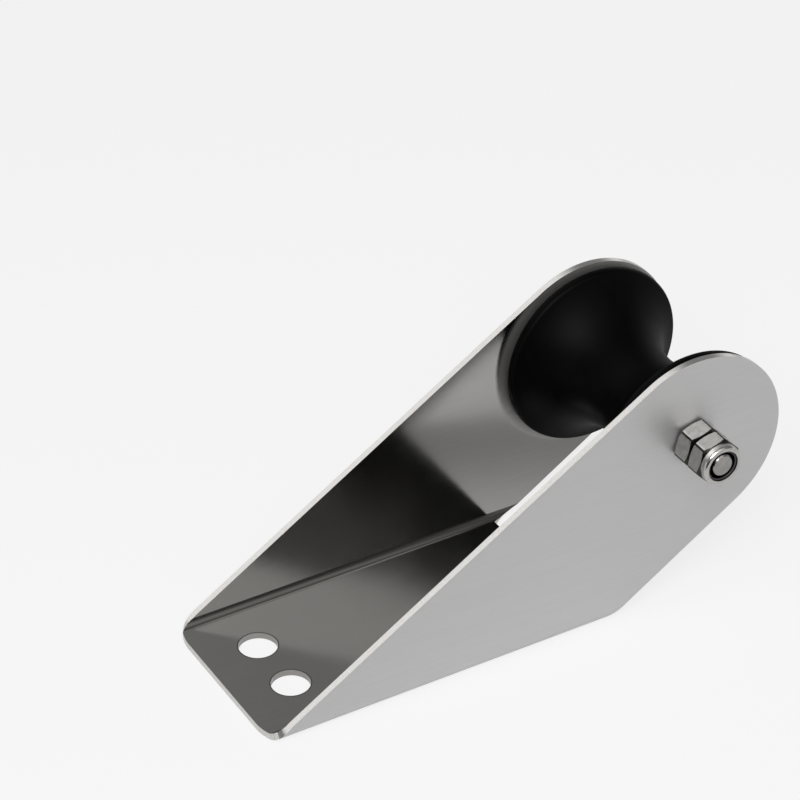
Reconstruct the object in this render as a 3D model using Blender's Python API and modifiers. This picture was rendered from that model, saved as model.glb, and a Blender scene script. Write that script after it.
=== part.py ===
"""Bow roller: a folded stainless channel that carries a grooved roller on a bolt.

Metres, +Z up. The origin is midway between the two deck holes, on the underside of
the base plate. +X points over the bow, Y runs across, and the bolt's nuts are at -Y.
"""
import math

import bmesh
import bpy
from mathutils import Matrix, Vector

OBJECT_NAME = "bow_roller"

# Sheet channel
CHANNEL_WIDTH = 0.060        # over the outsides of the cheeks
SHEET = 0.002                # stainless sheet
BEND_INSIDE_RADIUS = 0.002
BASE_LENGTH = 0.1068         # inboard end to bow end of the flat base plate
TIP_RISE = 0.0031            # cheek blank at the inboard end, measured round the bend
TIP_CORNER_RADIUS = 0.016    # rounds that corner of the blank, in the flat
NOSE_RADIUS = 0.0293         # round bow end of each cheek
NOSE_X = 0.1216
NOSE_Z = 0.0532
EDGE_BREAK = 0.0002          # deburred edges of the sheet

# Deck holes
HOLE_INSET = 0.0170          # inboard end to the row of holes
HOLE_SPACING = 0.0195
HOLE_DIAMETER = 0.0115

# Axle bolt and its nuts, M8
AXLE_X = 0.1211
AXLE_Z = 0.0556
BOLT_DIAMETER = 0.008
BOLT_RECESS = 0.0004         # from the lock nut's mouth in to the bolt's end
BOLT_END_CHAMFER = 0.0009
ACROSS_FLATS = 0.013
HEAD_HEIGHT = 0.0053
PLAIN_NUT_HEIGHT = 0.0065
LOCK_NUT_HEIGHT = 0.008
LOCK_NUT_HEX_HEIGHT = 0.0057
COLLAR_DIAMETER = 0.0126     # round collar that is crimped over the nylon ring
COLLAR_EDGE_RADIUS = 0.0011
COLLAR_WALL = 0.0008
INSERT_THICKNESS = 0.0016
CRIMP_OVERLAP = 0.0003       # how far the crimped lip covers the ring
HEX_CHAMFER_ANGLE = 30.0     # degrees
HEX_CHAMFER_INSET = 0.0006   # from the flats in to the circle where the chamfer starts
NUT_TURN = 14.0              # degrees from +X to a corner of each nut
HEAD_TURN = 0.0

# Roller
ROLLER_DIAMETER = 0.0574
ROLLER_WAIST_DIAMETER = 0.028
ROLLER_GAP_AT_NUTS = 0.001   # the roller has side play and sits nearer the nuts' cheek
ROLLER_GAP_AT_HEAD = 0.0015
ROLLER_RIM_WIDTH = 0.0027
ROLLER_EDGE_RADIUS = 0.001
ROLLER_PLAY = 0.003          # its wide bore lets the roller's axis lie this far off the bolt's
ROLLER_LEAN = 20.0           # degrees from straight below the bolt towards the bow

# Clearances
SEAT_GAP = 0.0003            # between pieces that seat on each other
BOLT_CLEARANCE = 0.0003      # all round the bolt in whatever it passes through

# Facets
BEND_STEPS = 8
NOSE_STEPS = 48
TIP_STEPS = 10
HOLE_SIDES = 40
BOLT_SIDES = 40
ROLLER_SIDES = 80
GROOVE_STEPS = 18
ROUND_STEPS = 5
MERGE = 0.00001

# Worked out from the sizes above
BEND_OUTSIDE_RADIUS = BEND_INSIDE_RADIUS + SHEET
HALF_WIDTH = CHANNEL_WIDTH / 2
HALF_BASE = HALF_WIDTH - BEND_OUTSIDE_RADIUS
BEND_ARC = BEND_OUTSIDE_RADIUS * math.pi / 2
INBOARD_X = -HOLE_INSET
BOW_X = INBOARD_X + BASE_LENGTH
BOLT_RADIUS = BOLT_DIAMETER / 2
PASSAGE_RADIUS = BOLT_RADIUS + BOLT_CLEARANCE
HEX_CORNER_RADIUS = ACROSS_FLATS / math.sqrt(3)
HEX_CHAMFER_START = ACROSS_FLATS / 2 - HEX_CHAMFER_INSET
ROLLER_RADIUS = ROLLER_DIAMETER / 2
ROLLER_WAIST_RADIUS = ROLLER_WAIST_DIAMETER / 2
ROLLER_HALF_LENGTH = (CHANNEL_WIDTH - 2 * SHEET - ROLLER_GAP_AT_NUTS - ROLLER_GAP_AT_HEAD) / 2
ROLLER_Y = (ROLLER_GAP_AT_NUTS - ROLLER_GAP_AT_HEAD) / 2
ROLLER_X = AXLE_X + ROLLER_PLAY * math.sin(math.radians(ROLLER_LEAN))
ROLLER_Z = AXLE_Z - ROLLER_PLAY * math.cos(math.radians(ROLLER_LEAN))
ROLLER_BORE_RADIUS = PASSAGE_RADIUS + ROLLER_PLAY
PLAIN_NUT_Y = -HALF_WIDTH - SEAT_GAP
LOCK_NUT_Y = PLAIN_NUT_Y - PLAIN_NUT_HEIGHT - SEAT_GAP
HEAD_Y = HALF_WIDTH + SEAT_GAP
BOLT_LENGTH = HEAD_Y - LOCK_NUT_Y + LOCK_NUT_HEIGHT - BOLT_RECESS
POCKET_RADIUS = COLLAR_DIAMETER / 2 - COLLAR_WALL
INSERT_RADIUS = POCKET_RADIUS - SEAT_GAP
INSERT_TOP = LOCK_NUT_HEIGHT - COLLAR_WALL - SEAT_GAP
INSERT_BOTTOM = INSERT_TOP - INSERT_THICKNESS


def clear_scene():
    """Remove whatever objects the open file holds."""
    for obj in list(bpy.data.objects):
        bpy.data.objects.remove(obj, do_unlink=True)


def new_collection(name):
    collection = bpy.data.collections.new(name)
    bpy.context.scene.collection.children.link(collection)
    return collection


def new_object(name, bm, collection):
    """Put a bmesh into a new object and free the bmesh."""
    mesh = bpy.data.meshes.new(name)
    bm.to_mesh(mesh)
    bm.free()
    obj = bpy.data.objects.new(name, mesh)
    collection.objects.link(obj)
    return obj


def make_material(name, colour, roughness, metallic):
    material = bpy.data.materials.new(name)
    material.use_nodes = True
    shader = material.node_tree.nodes["Principled BSDF"]
    shader.inputs["Base Color"].default_value = (*colour, 1.0)
    shader.inputs["Roughness"].default_value = roughness
    shader.inputs["Metallic"].default_value = metallic
    return material


def arc_points(centre, radius, start, end, steps):
    """Points on an arc, both ends included, angles in radians."""
    points = []
    for i in range(steps + 1):
        angle = start + (end - start) * i / steps
        points.append((centre[0] + radius * math.cos(angle), centre[1] + radius * math.sin(angle)))
    return points


def touching_angle(point, centre, radius, side):
    """Angle on a circle at which a line from an outside point touches it.

    side is +1 for the touching point that lies anticlockwise of the direction to
    the outside point, and -1 for the clockwise one.
    """
    away = Vector(point) - Vector(centre)
    return math.atan2(away.y, away.x) + side * math.acos(radius / away.length)


def turned(name, profile, sides, collection, closed):
    """Turn a profile of (radius, height) points about Z with a Screw modifier.

    A closed profile makes a ring. An open one starts and ends on the axis.
    """
    bm = bmesh.new()
    verts = [bm.verts.new((radius, 0.0, height)) for radius, height in profile]
    following = verts[1:] + verts[:1] if closed else verts[1:]
    for first, second in zip(verts, following):
        bm.edges.new((first, second))
    obj = new_object(name, bm, collection)
    screw = obj.modifiers.new("turn", "SCREW")
    screw.axis = "Z"
    screw.angle = 2 * math.pi
    screw.steps = sides
    screw.render_steps = sides
    screw.use_merge_vertices = True
    screw.merge_threshold = MERGE
    return obj


def prism(name, sides, radius, bottom, top, collection, turn=0.0):
    """Upright prism or cylinder between two heights, turned by an angle in degrees."""
    bm = bmesh.new()
    bmesh.ops.create_cone(bm, cap_ends=True, segments=sides, radius1=radius, radius2=radius,
                          depth=top - bottom)
    place = Matrix.Translation((0.0, 0.0, (top + bottom) / 2))
    place = place @ Matrix.Rotation(math.radians(turn), 4, "Z")
    bmesh.ops.transform(bm, matrix=place, verts=bm.verts)
    return new_object(name, bm, collection)


def add_boolean(obj, operation, tool):
    """Join, cut or trim a piece with a tool that is hidden from the render."""
    modifier = obj.modifiers.new(operation.lower() + "_" + tool.name, "BOOLEAN")
    modifier.operation = operation
    modifier.solver = "EXACT"
    modifier.object = tool
    tool.hide_render = True
    tool.display_type = "WIRE"


def add_bevel(obj, width, segments, angle):
    modifier = obj.modifiers.new("broken_edges", "BEVEL")
    modifier.width = width
    modifier.segments = segments
    modifier.limit_method = "ANGLE"
    modifier.angle_limit = math.radians(angle)


def lay_down(piece, x, y, z, facing=-1):
    """Put a piece that was made about +Z at a point, with +Z turned to -Y or to +Y."""
    piece.location = (x, y, z)
    piece.rotation_euler = (-facing * math.pi / 2, 0.0, 0.0)


def place_on_axle(pieces, y, facing=-1):
    for piece in pieces:
        lay_down(piece, AXLE_X, y, AXLE_Z, facing)


def developed(height):
    """Distance from the blank's centreline to a point at this height on a cheek."""
    return HALF_BASE + BEND_ARC + height - BEND_OUTSIDE_RADIUS


def half_blank_outline():
    """Outline of half of the flat blank, from its centreline out to one cheek.

    Two straight cuts run from the inboard tip and from the base's bow corner, and
    each of them touches the round nose. The tip itself is rounded.
    """
    tip = (INBOARD_X, HALF_BASE + TIP_RISE)
    foot = (BOW_X, HALF_BASE)
    nose = (NOSE_X, developed(NOSE_Z))
    lower = touching_angle(foot, nose, NOSE_RADIUS, 1)
    upper = touching_angle(tip, nose, NOSE_RADIUS, -1)
    if lower > upper:
        lower -= 2 * math.pi
    outline = [(INBOARD_X, 0.0), (BOW_X, 0.0), foot]
    outline += arc_points(nose, NOSE_RADIUS, lower, upper, NOSE_STEPS)
    outline += rounded_tip(tip, outline[-1])
    return outline


def rounded_tip(tip, beyond):
    """Points of the tip's rounded corner, from the cheek's edge to the inboard end."""
    corner = Vector(tip)
    edge = (Vector(beyond) - corner).normalized()
    end = Vector((0.0, -1.0))
    half = edge.angle(end) / 2
    centre = corner + (edge + end).normalized() * TIP_CORNER_RADIUS / math.sin(half)
    slope = math.atan2(edge.y, edge.x)
    return arc_points(centre, TIP_CORNER_RADIUS, slope + math.pi / 2, math.pi, TIP_STEPS)


def crease(number):
    """Distance of one crease from the blank's centreline."""
    return HALF_BASE + BEND_ARC * number / BEND_STEPS


def crease_place(x, number):
    """Where a point of one crease is once the sheet is folded."""
    angle = math.pi / 2 * number / BEND_STEPS
    y = HALF_BASE + BEND_OUTSIDE_RADIUS * math.sin(angle)
    z = BEND_OUTSIDE_RADIUS * (1 - math.cos(angle))
    return Vector((x, y, z))


def folded(x, across):
    """Where a point of the blank's outer face goes once the sheet is folded.

    The strip between two creases stays flat.
    """
    if across <= HALF_BASE:
        return Vector((x, across, 0.0))
    if across >= HALF_BASE + BEND_ARC:
        return Vector((x, HALF_WIDTH, BEND_OUTSIDE_RADIUS + across - HALF_BASE - BEND_ARC))
    steps = (across - HALF_BASE) / BEND_ARC * BEND_STEPS
    number = min(int(steps), BEND_STEPS - 1)
    return crease_place(x, number).lerp(crease_place(x, number + 1), steps - number)


def folded_half_sheet(parts):
    """Half of the channel as an open surface, cut flat and then folded up on one side."""
    bm = bmesh.new()
    bm.faces.new([bm.verts.new((x, across, 0.0)) for x, across in half_blank_outline()])
    for number in range(BEND_STEPS + 1):
        geometry = bm.verts[:] + bm.edges[:] + bm.faces[:]
        bmesh.ops.bisect_plane(bm, geom=geometry, dist=MERGE / 10, plane_co=(0.0, crease(number), 0.0),
                               plane_no=(0.0, 1.0, 0.0))
    for vert in bm.verts:
        vert.co = folded(vert.co.x, vert.co.y)
    bmesh.ops.recalc_face_normals(bm, faces=bm.faces)
    underside = min(bm.faces, key=lambda face: face.calc_center_median().z)
    if underside.normal.z > 0:
        bmesh.ops.reverse_faces(bm, faces=bm.faces)
    return new_object("channel_bracket", bm, parts)


def channel_bracket(parts, cutters):
    """Folded channel with its deck holes and the two bolt holes in its cheeks."""
    obj = folded_half_sheet(parts)
    mirror = obj.modifiers.new("other_half", "MIRROR")
    mirror.use_axis = (False, True, False)
    mirror.use_clip = True
    mirror.merge_threshold = MERGE
    sheet = obj.modifiers.new("sheet", "SOLIDIFY")
    sheet.thickness = SHEET
    sheet.offset = -1.0
    sheet.use_even_offset = True
    for side, word in ((-1, "near"), (1, "far")):
        deck_hole = prism("deck_hole_" + word, HOLE_SIDES, HOLE_DIAMETER / 2, -SHEET, 2 * SHEET, cutters)
        deck_hole.location = (0.0, side * HOLE_SPACING / 2, 0.0)
        bolt_hole = prism("bolt_hole_" + word, HOLE_SIDES, PASSAGE_RADIUS, -2 * SHEET, SHEET, cutters)
        place_on_axle([bolt_hole], side * HALF_WIDTH, facing=side)
        add_boolean(obj, "DIFFERENCE", deck_hole)
        add_boolean(obj, "DIFFERENCE", bolt_hole)
    add_bevel(obj, EDGE_BREAK, 1, 50.0)
    return obj


def roller(parts):
    """Hourglass roller turned about its bore, with a narrow rounded rim at each end."""
    half_mouth = ROLLER_HALF_LENGTH - ROLLER_RIM_WIDTH
    depth = ROLLER_RADIUS - ROLLER_WAIST_RADIUS
    hollow = (half_mouth ** 2 + depth ** 2) / (2 * depth)
    spread = math.asin(half_mouth / hollow)
    centre = (ROLLER_WAIST_RADIUS + hollow, 0.0)
    groove = arc_points(centre, hollow, math.pi - spread, math.pi + spread, GROOVE_STEPS)
    end = ROLLER_HALF_LENGTH
    profile = [(ROLLER_BORE_RADIUS, end), (ROLLER_RADIUS, end)] + groove
    profile += [(ROLLER_RADIUS, -end), (ROLLER_BORE_RADIUS, -end)]
    obj = turned("roller", profile, ROLLER_SIDES, parts, closed=True)
    add_bevel(obj, ROLLER_EDGE_RADIUS, 3, 35.0)
    lay_down(obj, ROLLER_X, ROLLER_Y, ROLLER_Z)
    return obj


def hexagon(name, height, turn, parts):
    return prism(name, 6, HEX_CORNER_RADIUS, 0.0, height, parts, turn)


def corner_trimmer(name, height, both_ends, cutters):
    """Turned body that chamfers the corners of a hexagon at its top or at both ends."""
    reach = 1.05 * HEX_CORNER_RADIUS
    drop = (reach - HEX_CHAMFER_START) * math.tan(math.radians(HEX_CHAMFER_ANGLE))
    profile = [(0.0, height), (HEX_CHAMFER_START, height), (reach, height - drop)]
    if both_ends:
        profile += [(reach, drop), (HEX_CHAMFER_START, 0.0), (0.0, 0.0)]
    else:
        profile += [(reach, -drop), (0.0, -drop)]
    return turned(name, profile, BOLT_SIDES, cutters, closed=False)


def axle_bolt(parts, cutters):
    """Hexagon bolt through both cheeks, with its head on the far cheek."""
    obj = hexagon("axle_bolt", HEAD_HEIGHT, HEAD_TURN, parts)
    trimmer = corner_trimmer("bolt_head_corners", HEAD_HEIGHT, False, cutters)
    inside_head = HEAD_HEIGHT / 2
    profile = [(0.0, inside_head), (BOLT_RADIUS, inside_head)]
    profile.append((BOLT_RADIUS, BOLT_END_CHAMFER - BOLT_LENGTH))
    profile.append((BOLT_RADIUS - BOLT_END_CHAMFER, -BOLT_LENGTH))
    profile.append((0.0, -BOLT_LENGTH))
    shank = turned("bolt_shank", profile, BOLT_SIDES, cutters, closed=False)
    add_boolean(obj, "INTERSECT", trimmer)
    add_boolean(obj, "UNION", shank)
    place_on_axle([obj, trimmer, shank], HEAD_Y, facing=1)
    return obj


def plain_nut(parts, cutters):
    """Full nut run up to the near cheek."""
    height = PLAIN_NUT_HEIGHT
    obj = hexagon("plain_nut", height, NUT_TURN, parts)
    trimmer = corner_trimmer("plain_nut_corners", height, True, cutters)
    bore = prism("plain_nut_bore", BOLT_SIDES, PASSAGE_RADIUS, -height, 2 * height, cutters)
    add_boolean(obj, "INTERSECT", trimmer)
    add_boolean(obj, "DIFFERENCE", bore)
    place_on_axle([obj, trimmer, bore], PLAIN_NUT_Y)
    return obj


def lock_nut_collar(cutters):
    """Round collar of the lock nut, rooted in its hexagon and rounded at its mouth."""
    outer = COLLAR_DIAMETER / 2
    corner = (outer - COLLAR_EDGE_RADIUS, LOCK_NUT_HEIGHT - COLLAR_EDGE_RADIUS)
    rounded = arc_points(corner, COLLAR_EDGE_RADIUS, math.pi / 2, 0.0, ROUND_STEPS)
    root = LOCK_NUT_HEX_HEIGHT / 2
    profile = [(0.0, LOCK_NUT_HEIGHT)] + rounded + [(outer, root), (0.0, root)]
    return turned("lock_nut_collar", profile, BOLT_SIDES, cutters, closed=False)


def lock_nut_cavity(cutters):
    """Bore of the lock nut, the wider pocket for its ring, and the mouth in its lip."""
    height = LOCK_NUT_HEIGHT
    mouth = INSERT_RADIUS - CRIMP_OVERLAP
    floor = INSERT_BOTTOM - SEAT_GAP
    ceiling = INSERT_TOP + SEAT_GAP
    profile = [(0.0, 2 * height), (mouth, 2 * height), (mouth, ceiling), (POCKET_RADIUS, ceiling)]
    profile += [(POCKET_RADIUS, floor), (PASSAGE_RADIUS, floor), (PASSAGE_RADIUS, -height), (0.0, -height)]
    return turned("lock_nut_cavity", profile, BOLT_SIDES, cutters, closed=False)


def lock_nut(parts, cutters):
    """Lock nut: a hexagon with a round collar that is crimped over a nylon ring."""
    obj = hexagon("lock_nut", LOCK_NUT_HEX_HEIGHT, NUT_TURN, parts)
    trimmer = corner_trimmer("lock_nut_corners", LOCK_NUT_HEX_HEIGHT, True, cutters)
    collar = lock_nut_collar(cutters)
    cavity = lock_nut_cavity(cutters)
    add_boolean(obj, "INTERSECT", trimmer)
    add_boolean(obj, "UNION", collar)
    add_boolean(obj, "DIFFERENCE", cavity)
    place_on_axle([obj, trimmer, collar, cavity], LOCK_NUT_Y)
    return obj


def lock_nut_insert(parts):
    """Nylon ring under the lock nut's crimped lip."""
    profile = [(PASSAGE_RADIUS, INSERT_TOP), (INSERT_RADIUS, INSERT_TOP)]
    profile += [(INSERT_RADIUS, INSERT_BOTTOM), (PASSAGE_RADIUS, INSERT_BOTTOM)]
    obj = turned("lock_nut_insert", profile, BOLT_SIDES, parts, closed=True)
    place_on_axle([obj], LOCK_NUT_Y)
    return obj


def finish(obj, material):
    """Give a piece its material, smooth across its facets and sharp at its edges."""
    obj.data.materials.append(material)
    obj.data.shade_smooth()
    obj.data.set_sharp_from_angle(angle=math.radians(30.0))


def build():
    """Make every piece of the bow roller."""
    clear_scene()
    parts = new_collection(OBJECT_NAME)
    cutters = new_collection("cutters")
    sheet_steel = make_material("satin_stainless_sheet", (0.60, 0.60, 0.61), 0.25, 1.0)
    bright_steel = make_material("bright_stainless_fasteners", (0.66, 0.65, 0.63), 0.18, 1.0)
    black_nylon = make_material("black_nylon_roller", (0.012, 0.012, 0.013), 0.45, 0.0)
    ring_nylon = make_material("dark_nylon_ring", (0.02, 0.02, 0.021), 0.5, 0.0)
    finish(channel_bracket(parts, cutters), sheet_steel)
    finish(roller(parts), black_nylon)
    finish(axle_bolt(parts, cutters), bright_steel)
    finish(plain_nut(parts, cutters), bright_steel)
    finish(lock_nut(parts, cutters), bright_steel)
    finish(lock_nut_insert(parts), ring_nylon)


build()
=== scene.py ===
"""Bow roller: finished pieces, materials, floor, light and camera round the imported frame.

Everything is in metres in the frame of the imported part. The origin is midway between
the deck holes on the underside of the base plate, +X points over the bow, the nuts
are at -Y and +Z is up.
"""

import logging
import math
from dataclasses import dataclass
from enum import Enum
from typing import Callable, Iterable, Optional, Sequence, Union

import bmesh
import bpy
from mathutils import Matrix, Vector


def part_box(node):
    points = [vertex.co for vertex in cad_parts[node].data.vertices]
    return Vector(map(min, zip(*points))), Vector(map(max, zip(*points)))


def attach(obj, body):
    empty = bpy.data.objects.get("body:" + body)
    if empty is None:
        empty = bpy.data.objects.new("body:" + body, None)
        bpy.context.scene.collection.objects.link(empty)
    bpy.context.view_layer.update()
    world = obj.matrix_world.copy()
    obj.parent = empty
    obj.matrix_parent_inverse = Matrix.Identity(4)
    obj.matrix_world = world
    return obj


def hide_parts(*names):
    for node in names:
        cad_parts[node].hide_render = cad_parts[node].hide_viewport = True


LOG = logging.getLogger("bow_roller")

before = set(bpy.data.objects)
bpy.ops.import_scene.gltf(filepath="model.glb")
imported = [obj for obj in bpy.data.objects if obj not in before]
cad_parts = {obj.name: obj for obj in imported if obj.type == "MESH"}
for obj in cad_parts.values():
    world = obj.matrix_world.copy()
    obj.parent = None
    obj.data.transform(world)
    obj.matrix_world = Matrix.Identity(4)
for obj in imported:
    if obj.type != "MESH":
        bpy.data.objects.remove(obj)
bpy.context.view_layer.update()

MILLIMETRE = 0.001
MERGE = 1e-6
PHOTO_SIDE = 800
DECK_HOLE_Y = 0.00975        # half of the spacing of the two deck holes
ALONG_Y = Vector((0.0, 1.0, 0.0))
ALONG_Z = Vector((0.0, 0.0, 1.0))

Reach = Union[float, Callable[[float], float]]


class Body(Enum):
    """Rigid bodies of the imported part."""

    BRACKET = "bracket"
    ROLLER = "roller"


class Slot(Enum):
    """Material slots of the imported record."""

    SHEET = "stainless_sheet"
    FASTENERS = "stainless_fasteners"
    ROLLER = "black_nylon"
    RING = "ring_nylon"


def linear(code: str) -> tuple[float, float, float, float]:
    """Turn an sRGB hex value into linear red, green, blue and alpha.

    Args:
        code: Six hex digits with a leading hash.

    Returns:
        The linear colour, with alpha 1.
    """
    levels = [int(code[i:i + 2], 16) / 255 for i in (1, 3, 5)]
    parts = [v / 12.92 if v <= 0.04045 else ((v + 0.055) / 1.055) ** 2.4 for v in levels]
    return (parts[0], parts[1], parts[2], 1.0)


def add_node(tree: bpy.types.NodeTree, kind: str, settings: Optional[dict] = None,
             values: Optional[dict] = None, links: Optional[dict] = None) -> bpy.types.Node:
    """Add a node with its settings, constant inputs and links.

    Args:
        tree: Node tree that takes the node.
        kind: Node type.
        settings: Attribute names and their values.
        values: Input names or numbers and their constants.
        links: Input names or numbers and the output sockets that feed them.

    Returns:
        The new node.
    """
    node = tree.nodes.new(kind)
    for name, value in (settings or {}).items():
        setattr(node, name, value)
    for name, value in (values or {}).items():
        node.inputs[name].default_value = value
    for name, socket in (links or {}).items():
        tree.links.new(socket, node.inputs[name])
    return node


def set_ramp(node: bpy.types.Node, stops: Sequence[tuple[float, tuple]]) -> None:
    """Give a colour ramp its stops.

    Args:
        node: Colour ramp node.
        stops: Positions with their linear colours, from low to high.
    """
    elements = node.color_ramp.elements
    while len(elements) > 1:
        elements.remove(elements[-1])
    elements[0].position, elements[0].color = stops[0]
    for position, colour in stops[1:]:
        elements.new(position).color = colour


def new_material(name: str) -> tuple[bpy.types.Material, bpy.types.NodeTree, bpy.types.Node]:
    """Make an empty node material with its output.

    Args:
        name: Name of the material.

    Returns:
        The material, its tree and its output node.
    """
    material = bpy.data.materials.new(name)
    material.use_nodes = True
    material.node_tree.nodes.clear()
    output = add_node(material.node_tree, "ShaderNodeOutputMaterial")
    return material, material.node_tree, output


def band(tree: bpy.types.NodeTree, value: bpy.types.NodeSocket, low: float, high: float,
         soft: float) -> bpy.types.NodeSocket:
    """Mark where a value lies between two limits.

    Args:
        tree: Node tree that takes the nodes.
        value: Output with the value.
        low: Lower limit.
        high: Upper limit.
        soft: Width of the fade outside each limit.

    Returns:
        The output, 1 between the limits and 0 away from them.
    """
    half = (high - low) / 2
    off = add_node(tree, "ShaderNodeMath", {"operation": "SUBTRACT"}, {1: low + half}, {0: value})
    away = add_node(tree, "ShaderNodeMath", {"operation": "ABSOLUTE"}, links={0: off.outputs[0]})
    fade = add_node(tree, "ShaderNodeMapRange", {"interpolation_type": "SMOOTHSTEP"},
                    {"From Min": half, "From Max": half + soft, "To Min": 1.0, "To Max": 0.0},
                    {"Value": away.outputs[0]})
    return fade.outputs[0]


@dataclass(frozen=True)
class SheetSteel:
    """Cold-rolled stainless sheet with belt lines along its length.

    The outside is belted to a pale satin that shows nothing but broad tones. The inside
    keeps more of the mill's gloss, so it mirrors the base, the cheeks and the roller.
    """

    name: str
    colour: str
    shade: str
    dullness: tuple[float, float]
    grain_mm: float = 0.35
    grain_length_mm: float = 30.0
    wave_mm: float = 38.0
    grain_depth_mm: float = 0.0002
    wave_depth_mm: float = 0.035
    haze_mm: float = 11.1

    def marks(self, tree: bpy.types.NodeTree, place: bpy.types.NodeSocket,
              colour: bpy.types.NodeSocket, rough: bpy.types.NodeSocket
              ) -> tuple[bpy.types.NodeSocket, bpy.types.NodeSocket]:
        """Change the colour and the roughness where the sheet is marked: here nowhere.

        Args:
            tree: Node tree of the material.
            place: Output with the object coordinates.
            colour: Output with the clean colour.
            rough: Output with the clean roughness.

        Returns:
            The outputs with the colour and the roughness to use.
        """
        return colour, rough

    def material(self) -> bpy.types.Material:
        """Build the node material."""
        material, tree, output = new_material(self.name)
        place = add_node(tree, "ShaderNodeTexCoord")
        along = 1 / (self.grain_length_mm * MILLIMETRE)
        across = 1 / (self.grain_mm * MILLIMETRE)
        # Belt lines run along X on the base and on both cheeks. The real ones are about
        # 0.03 mm wide and are drawn coarser so that they show.
        stretch = add_node(tree, "ShaderNodeMapping", values={"Scale": (along, across, across)},
                           links={"Vector": place.outputs["Object"]})
        grain = add_node(tree, "ShaderNodeTexNoise",
                         values={"Scale": 1.0, "Detail": 3.0, "Roughness": 0.6},
                         links={"Vector": stretch.outputs[0]})
        waves = add_node(tree, "ShaderNodeTexNoise",
                         values={"Scale": 1 / (self.wave_mm * MILLIMETRE), "Detail": 1.0, "Roughness": 0.4},
                         links={"Vector": place.outputs["Object"]})
        haze = add_node(tree, "ShaderNodeTexNoise",
                        values={"Scale": 1 / (self.haze_mm * MILLIMETRE), "Detail": 4.0, "Roughness": 0.55},
                        links={"Vector": place.outputs["Object"]})
        tint = add_node(tree, "ShaderNodeValToRGB", links={"Fac": grain.outputs["Fac"]})
        set_ramp(tint, [(0.3, linear(self.shade)), (0.7, linear(self.colour))])
        blend = add_node(tree, "ShaderNodeMath", {"operation": "MULTIPLY_ADD"}, {1: 0.35},
                         {0: grain.outputs["Fac"], 2: haze.outputs["Fac"]})
        rough = add_node(tree, "ShaderNodeMapRange",
                         values={"From Min": 0.35, "From Max": 1.0, "To Min": self.dullness[0],
                                 "To Max": self.dullness[1]},
                         links={"Value": blend.outputs[0]})
        colour, roughness = self.marks(tree, place.outputs["Object"], tint.outputs[0], rough.outputs[0])
        wavy = add_node(tree, "ShaderNodeBump",
                        values={"Strength": 1.0, "Distance": self.wave_depth_mm * MILLIMETRE},
                        links={"Height": waves.outputs["Fac"]})
        lined = add_node(tree, "ShaderNodeBump",
                         values={"Strength": 1.0, "Distance": self.grain_depth_mm * MILLIMETRE},
                         links={"Height": grain.outputs["Fac"], "Normal": wavy.outputs[0]})
        shader = add_node(tree, "ShaderNodeBsdfPrincipled", values={"Metallic": 1.0},
                          links={"Base Color": colour, "Roughness": roughness,
                                 "Normal": lined.outputs[0]})
        tree.links.new(shader.outputs[0], output.inputs["Surface"])
        return material


@dataclass(frozen=True)
class InsideSheetSteel(SheetSteel):
    """Inside of the channel: glossy from the mill, rubbed by the roller, and painted with shade in its
    bends and round its holes.

    The press has dulled both inner bends, which are also drawn darker as painted shade in the creases. A
    dark rim round each deck hole is a painted dark reflection, and the roller's rims have rubbed a dull
    ring into each cheek.
    """

    # Painted shade: the inner bends and a thin rim round each deck hole are drawn in the darker colour
    # below.
    bend_from: float = 0.00206
    bend_to: float = 0.00404
    painted_shade_colour: str = "#646360"
    bend_and_rim_roughness: float = 0.42
    axle: tuple[float, float] = (0.1221, 0.0528)
    ring_inside: float = 0.0245
    ring_outside: float = 0.0297
    ring_fade: float = 0.0025
    ring_roughness: float = 0.55
    # Inner and outer radius of the painted dark reflection round each deck hole.
    rim_inside: float = 0.0056
    rim_outside: float = 0.00605
    shade_fade: float = 0.0001
    base_top: float = 0.002

    def marks(self, tree: bpy.types.NodeTree, place: bpy.types.NodeSocket,
              colour: bpy.types.NodeSocket, rough: bpy.types.NodeSocket
              ) -> tuple[bpy.types.NodeSocket, bpy.types.NodeSocket]:
        """Paint shade into the inner bends and the holes' rims and dull them, and dull the rubbed rings.

        Args:
            tree: Node tree of the material.
            place: Output with the object coordinates.
            colour: Output with the clean colour.
            rough: Output with the clean roughness.

        Returns:
            The outputs with the colour and the roughness to use.
        """
        split = add_node(tree, "ShaderNodeSeparateXYZ", links={0: place})
        # Painted shade in the inner bends, where the creases lie in shade.
        painted_shade_mask = band(tree, split.outputs["Z"], self.bend_from, self.bend_to, self.shade_fade / 2)
        # Painted dark reflection: a thin dark rim round the top of each deck hole.
        for side in (-1, 1):
            reach = add_node(tree, "ShaderNodeVectorMath", {"operation": "DISTANCE"},
                             {1: (0.0, side * DECK_HOLE_Y, self.base_top)}, {0: place})
            rim = band(tree, reach.outputs["Value"], self.rim_inside, self.rim_outside, self.shade_fade)
            both = add_node(tree, "ShaderNodeMath", {"operation": "MAXIMUM"}, links={0: painted_shade_mask, 1: rim})
            painted_shade_mask = both.outputs[0]
        # Mix the painted shade colour into the inner bends and the holes' rims.
        painted_shade_mix = add_node(tree, "ShaderNodeMix", {"data_type": "RGBA"}, {7: linear(self.painted_shade_colour)},
                           {0: painted_shade_mask, 6: colour})
        flat = add_node(tree, "ShaderNodeCombineXYZ",
                        links={0: split.outputs["X"], 2: split.outputs["Z"]})
        away = add_node(tree, "ShaderNodeVectorMath", {"operation": "DISTANCE"},
                        {1: (self.axle[0], 0.0, self.axle[1])}, {0: flat.outputs[0]})
        rings = band(tree, away.outputs["Value"], self.ring_inside, self.ring_outside, self.ring_fade)
        pressed = add_node(tree, "ShaderNodeMapRange", values={"To Max": self.bend_and_rim_roughness},
                           links={"Value": painted_shade_mask, "To Min": rough})
        dulled = add_node(tree, "ShaderNodeMapRange", values={"To Max": self.ring_roughness},
                          links={"Value": rings, "To Min": pressed.outputs[0]})
        return painted_shade_mix.outputs[2], dulled.outputs[0]


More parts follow.
